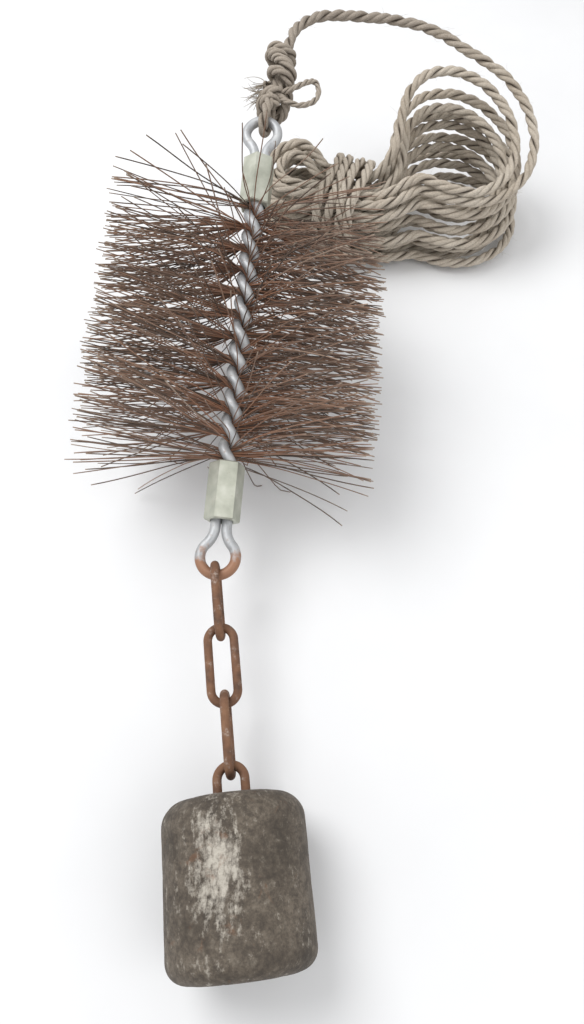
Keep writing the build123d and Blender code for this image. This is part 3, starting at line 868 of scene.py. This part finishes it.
# Frayed strands where the rope's end leaves the knot: limits along it, to the side and up
frayed_count = 46
frayed_limits = ((0.004, 0.022), (-0.010, -0.006), (-0.003, 0.005))
frayed_lengths, frayed_radius = (0.006, 0.015), 0.00028
roots = np.array(
    [in_knot(*[rng.uniform(*limits) for limits in frayed_limits]) for _ in range(frayed_count)]
)
ways = -knot_side * 0.8 - knot_axis * rng.uniform(-0.2, 1.2, (frayed_count, 1))
ways = unit(ways + knot_up * rng.uniform(-0.3, 0.4, (frayed_count, 1)))
lengths = rng.uniform(*frayed_lengths, frayed_count)
verts, quads = fibres(roots, ways, lengths, frayed_radius, rings=7, sides=5, curl=0.7)
frayed = new_piece("frayed_end", verts, quads, "brush", rope_look)
point_value(frayed, "outward", np.ones(len(verts)))
point_value(frayed, "weathered", np.full(len(verts), frayed_weathered))

# ---- Bristles: fans to the left and right of the stem, and stray strands all round it ----
brush_radius = 0.0975
strands_per_side = 50
bristle_rings, bristle_sides = 11, 5
first_strand_angle = -224
stray_every = 4
kept_shares, spread_shares = (0.40, 0.65), (0.40, 0.85)
left_raise, left_raise_drop = 15.0, 14.0
right_raise, right_raise_drop = -2.0, 5.0
tip_scatter, lean_scatter, stray_lean_scatter, tip_lean_scatter = 0.12, 0.07, 0.10, 0.06
row_fan, upper_fan_lean = 0.12, 0.13
root_leans, upper_root_lean, root_lean_fade = (-0.10, 0.48), 0.28, 1.6
short_share, short_reaches, long_reaches = 0.15, (0.72, 0.93), (0.94, 1.0)
right_reach = 0.955
turn_start, turn_length = 0.02, 0.5
lean_at_root, lean_gain = 0.4, 0.9
wave_size, wave_turn, wave_phases = 0.05, 5, (0, 6)
lowest_strand, lowest_spread, table_press = 0.0005, 0.006, 0.02
strand_radii = (0.0003, 0.00042)
bristle_look = bristle_material()
count = strands_per_side * 2
share = np.linspace(0, 1, bristle_rings - 1)
for row in range(row_count):
    pair = np.arange(count) // 2
    place = (pair + rng.uniform(0.1, 0.9, count)) / strands_per_side
    distance = brush_start + (row + place) * row_length
    helix_angle = np.radians(first_strand_angle + 360 * (distance - brush_start) / twist_lead)
    helix_angle = helix_angle + np.pi * (np.arange(count) % 2)
    side = np.where(np.cos(helix_angle) > 0, 0.0, np.pi)
    off_side = (helix_angle - side + np.pi) % (2 * np.pi) - np.pi
    stray = pair % stray_every == row % stray_every
    kept = np.where(stray, 1.0, rng.uniform(*kept_shares, count))
    root_angle = side + off_side * kept
    distance = distance - off_side * (1 - kept) / (2 * np.pi) * twist_lead
    left = side > 0
    up_row = row / (row_count - 1)
    left_angle = -np.radians(left_raise - left_raise_drop * up_row)
    right_angle = np.radians(right_raise - right_raise_drop * up_row)
    raised = np.where(left, left_angle, right_angle) * ~stray
    spread = np.where(stray, 1.0, rng.uniform(*spread_shares, count))
    tip_angle = side + off_side * kept * spread + raised + rng.normal(0, tip_scatter, count)
    fan = (place - 0.5) * row_fan - upper_fan_lean * up_row + rng.normal(0, lean_scatter, count)
    fan = fan + np.where(stray, rng.normal(0, stray_lean_scatter, count), 0)
    root_lean = np.where(stray, 0, rng.uniform(*root_leans, count) - upper_root_lean * up_row)
    short = rng.random(count) < short_share
    short_reach, long_reach = rng.uniform(*short_reaches, count), rng.uniform(*long_reaches, count)
    lengths = brush_radius * np.where(short, short_reach, long_reach)
    lengths = lengths * np.where(left, 1.0, right_reach)
    turn = ease((share - turn_start) / turn_length)
    wave = rng.normal(0, wave_size, (count, 1))
    wave = wave * np.sin(share * wave_turn + rng.uniform(*wave_phases, (count, 1)))
    angle = root_angle[:, None] + (tip_angle - root_angle)[:, None] * turn + wave
    lean = fan[:, None] * (lean_at_root + lean_gain * turn)
    lean = lean + root_lean[:, None] * (1 - share) ** root_lean_fade
    lean = lean + rng.normal(0, tip_lean_scatter, (count, 1)) * share**2
    way = (
        stem_side * (np.cos(angle) * np.cos(lean))[..., None]
        + stem_up * (np.sin(angle) * np.cos(lean))[..., None]
        + stem_axis * np.sin(lean)[..., None]
    )
    grown = np.cumsum(way * (lengths / (bristle_rings - 1))[:, None, None], 1)
    grown = np.concatenate([np.zeros((count, 1, 3)), grown], 1)
    centres = lower_bow + stem_axis * distance[:, None, None] + grown
    low = lowest_strand + rng.uniform(0, lowest_spread, (count, 1))
    height = centres[..., 2]
    height = np.where(height < low, low + (height - low) * table_press, height)
    centres[..., 2] = np.maximum(height, lowest_strand)
    tangent = unit(np.gradient(centres, axis=1))
    first = unit(np.cross(tangent, stem_axis))
    radii = np.broadcast_to(rng.uniform(*strand_radii, (count, 1)), (count, bristle_rings))
    bristles = new_piece(
        f"bristles_{row + 1:02d}",
        swept(centres, first, np.cross(tangent, first), radii, bristle_sides),
        tube_faces(count, bristle_rings, bristle_sides),
        "brush",
        bristle_look,
    )
    shade = rng.beta(1.6, 1.8, count)
    along = np.repeat(np.linspace(0, 1, bristle_rings), bristle_sides)
    point_value(bristles, "strand", np.repeat(shade, bristle_rings * bristle_sides))
    point_value(bristles, "along", np.tile(along, count))
    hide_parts(f"bristle_row_{row + 1:02d}")

# ---- Weight ----
weight_heading = -2.4
weight_axis = -heading_vector(weight_heading, 0)
weight_side = side_vector(weight_heading)
weight_start = np.array([-0.018368, -0.172147, 0.0375])
weight_radius, weight_length = 0.0375, 0.082
chain_end_radius, free_end_radius = 0.013, 0.0105
around, side_steps = 168, 51
chain_end_steps, chain_rim_steps, free_rim_steps, free_end_steps = 14, 10, 9, 15
relief_depths, relief_sizes = (0.0004, 0.00035), (0.021, 0.0065)
pit_depth, pit_size, pit_level = 0.0006, 0.0036, 0.45

chain_end = weight_radius - chain_end_radius
free_end = weight_radius - free_end_radius
profile = [(0, chain_end * i / chain_end_steps) for i in range(chain_end_steps + 1)]
for i in range(1, chain_rim_steps + 1):
    a = math.pi / 2 * i / chain_rim_steps
    inward = chain_end_radius * (1 - math.sin(a))
    profile.append((chain_end_radius * (1 - math.cos(a)), weight_radius - inward))
straight = weight_length - chain_end_radius - free_end_radius
for i in range(1, side_steps + 1):
    profile.append((chain_end_radius + straight * i / side_steps, weight_radius))
for i in range(1, free_rim_steps + 1):
    a = math.pi / 2 * i / free_rim_steps
    inward = free_end_radius * (1 - math.cos(a))
    profile.append((weight_length - free_end_radius * (1 - math.sin(a)), weight_radius - inward))
for i in range(1, free_end_steps + 1):
    profile.append((weight_length, free_end * (1 - i / free_end_steps)))
profile = np.array(profile)
angles = 2 * np.pi * np.arange(around) / around
rim = weight_side * np.cos(angles)[:, None] + np.array([0, 0, 1.0]) * np.sin(angles)[:, None]
ahead, out = profile[:, 0, None, None], profile[:, 1, None, None]
body_points = weight_start + weight_axis * ahead + rim[None] * out
slope = np.gradient(profile, axis=0)
outward = unit(np.stack([-slope[:, 1], slope[:, 0]], 1))
normals = weight_axis * outward[:, 0, None, None] + rim[None] * outward[:, 1, None, None]
lattice = 37


def smooth_noise(points, size, seed):
    """Value noise on a lattice, from -1 to 1."""
    table = np.random.default_rng(seed).uniform(-1, 1, (lattice, lattice, lattice))
    p = points / size
    cell = np.floor(p).astype(int)
    f = p - cell
    f = f * f * (3 - 2 * f)
    total = 0
    for corner in range(8):
        offset = np.array([corner & 1, corner >> 1 & 1, corner >> 2 & 1])
        index = (cell + offset) % lattice
        share = np.prod(np.where(offset, f, 1 - f), -1)
        total = total + share * table[index[..., 0], index[..., 1], index[..., 2]]
    return total


broad_relief, fine_relief = (
    deep * (1 - smooth_noise(body_points, size, seed)) / 2
    for deep, size, seed in zip(relief_depths, relief_sizes, (1, 2))
)
pits = np.clip(smooth_noise(body_points, pit_size, 3) - pit_level, 0, 1)
depth = broad_relief + fine_relief + pit_depth * pits
body_points = body_points - normals * depth[..., None]
body_points[..., 2] = np.maximum(body_points[..., 2], 0.0)
body_faces = tube_faces(1, len(profile), around)
iron_look = iron_material()
weight = new_piece(
    "cast_weight", body_points.reshape(-1, 3), body_faces, "weight", iron_look
)
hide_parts("weight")

# ---- Floor, light and camera ----
bpy.ops.mesh.primitive_grid_add(x_subdivisions=2, y_subdivisions=2, size=6)
floor = bpy.context.object
floor.name = "floor"
floor.data.materials.append(floor_material())


def area_light(name, place, target, size, power, colour=(1, 1, 1)):
    data = bpy.data.lights.new(name, "AREA")
    data.shape, data.size, data.energy, data.color = "DISK", size, power, colour
    lamp = bpy.data.objects.new(name, data)
    lamp.location = place
    lamp.rotation_euler = (Vector(target) - Vector(place)).to_track_quat("-Z", "Y").to_euler()
    bpy.context.scene.collection.objects.link(lamp)


area_light("key", (-0.55, 0.45, 1.3), (0, 0.05, 0.05), 0.9, 14)
area_light("fill", (0.9, -0.7, 1.1), (0, 0, 0.05), 1.2, 5)

world = bpy.data.worlds.new("studio")
bpy.context.scene.world = world
world.use_nodes = True
nodes, links = world.node_tree.nodes, world.node_tree.links
light_path = nodes.new("ShaderNodeLightPath")
scattered_strength, seen_strength = 0.55, 1.0
seen = None
for ray in ("Is Camera Ray", "Is Transmission Ray", "Is Glossy Ray"):
    either = nodes.new("ShaderNodeMath")
    either.operation = "MAXIMUM"
    links.new(light_path.outputs[ray], either.inputs[0])
    if seen:
        links.new(seen.outputs[0], either.inputs[1])
    seen = either
strength = nodes.new("ShaderNodeMapRange")
links.new(seen.outputs[0], strength.inputs["Value"])
strength.inputs["To Min"].default_value = scattered_strength
strength.inputs["To Max"].default_value = seen_strength
links.new(strength.outputs[0], nodes["Background"].inputs["Strength"])
nodes["Background"].inputs["Color"].default_value = (1, 1, 1, 1)

bpy.context.scene.view_settings.view_transform = "Standard"

camera_pitch, camera_roll = math.radians(62.8), math.radians(4.1)
view_way = Vector((0, math.cos(camera_pitch), -math.sin(camera_pitch)))
view_up = Vector((0, math.sin(camera_pitch), math.cos(camera_pitch)))
view_right = Vector((1, 0, 0))
camera_x = view_right * math.cos(camera_roll) - view_up * math.sin(camera_roll)
camera_y = view_right * math.sin(camera_roll) + view_up * math.cos(camera_roll)
camera_data = bpy.data.cameras.new("camera")
camera_data.lens, camera_data.sensor_width, camera_data.clip_start = 26.016, 36, 0.01
camera_place = (0.024, -0.2195, 0.453)
camera = bpy.data.objects.new("camera", camera_data)
turned = Matrix((camera_x, camera_y, -view_way)).transposed().to_4x4()
camera.matrix_world = Matrix.Translation(camera_place) @ turned
bpy.context.scene.collection.objects.link(camera)
bpy.context.scene.camera = camera
